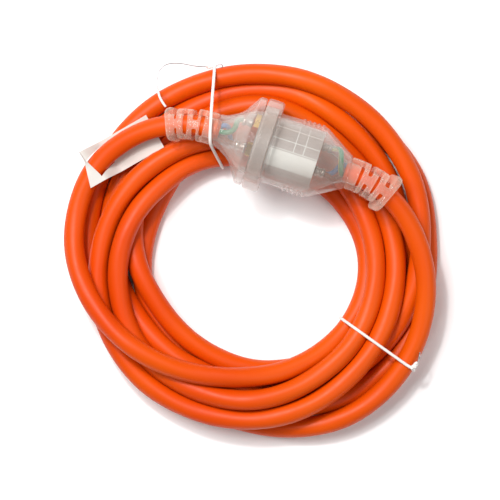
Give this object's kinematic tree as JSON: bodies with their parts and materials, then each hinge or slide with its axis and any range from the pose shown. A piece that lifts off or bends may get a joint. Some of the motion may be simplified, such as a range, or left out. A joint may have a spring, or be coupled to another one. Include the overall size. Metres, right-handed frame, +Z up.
{
  "type": "extension cord",
  "caption": "Coiled flexible mains lead with a clear moulded plug mated to its own clear socket, tied for storage.",
  "frame": {"origin": "middle of the coil, on the surface that it lies on", "axes": "+Z up out of the coil; +Y towards the side of the coil that the plug and socket lie over; +X from the plug's side to the socket's"},
  "size_m": [0.185, 0.185, 0.0562],
  "materials": {
    "cord_sheath": "satin orange PVC",
    "clear_pvc": "clear, slightly cloudy",
    "frosted_insert": "frosted white",
    "brass": "bright stamped",
    "crimp_metal": "tinned",
    "pin_insulation": "satin black",
    "core_brown": "smooth",
    "core_blue": "smooth",
    "core_green": "green with a yellow stripe",
    "tie_plastic": "soft white coating",
    "tag_paper": "matt white"
  },
  "bodies": {
    "lead": {"cord_coil": "cord_sheath", "plug_lead": "cord_sheath", "plug_moulding": "clear_pvc", "plug_strain_relief": "clear_pvc", "plug_pin_bridge": "frosted_insert", "pin_active": "brass", "pin_neutral": "brass", "pin_earth": "brass", "pin_sleeve_active": "pin_insulation", "pin_sleeve_neutral": "pin_insulation", "plug_crimp_active": "crimp_metal", "plug_crimp_neutral": "crimp_metal", "plug_crimp_earth": "crimp_metal", "plug_core_active": "core_brown", "plug_core_neutral": "core_blue", "plug_core_earth": "core_green", "twist_tie_top": "tie_plastic", "twist_tie_bottom": "tie_plastic", "label_tag": "tag_paper"},
    "socket": {"socket_moulding": "clear_pvc", "socket_strain_relief": "clear_pvc", "socket_insert": "frosted_insert", "socket_lead": "cord_sheath", "contact_active": "brass", "contact_neutral": "brass", "contact_earth": "brass", "socket_crimp_active": "crimp_metal", "socket_crimp_neutral": "crimp_metal", "socket_crimp_earth": "crimp_metal", "socket_core_active": "core_brown", "socket_core_neutral": "core_blue", "socket_core_earth": "core_green"}
  },
  "joints": [
    {"name": "socket_pull", "type": "slide", "parent": "lead", "child": "socket", "axis": [0.9511, -0.309, 0], "range_m": [0, 0.025], "deforming": ["socket_lead"]}
  ]
}
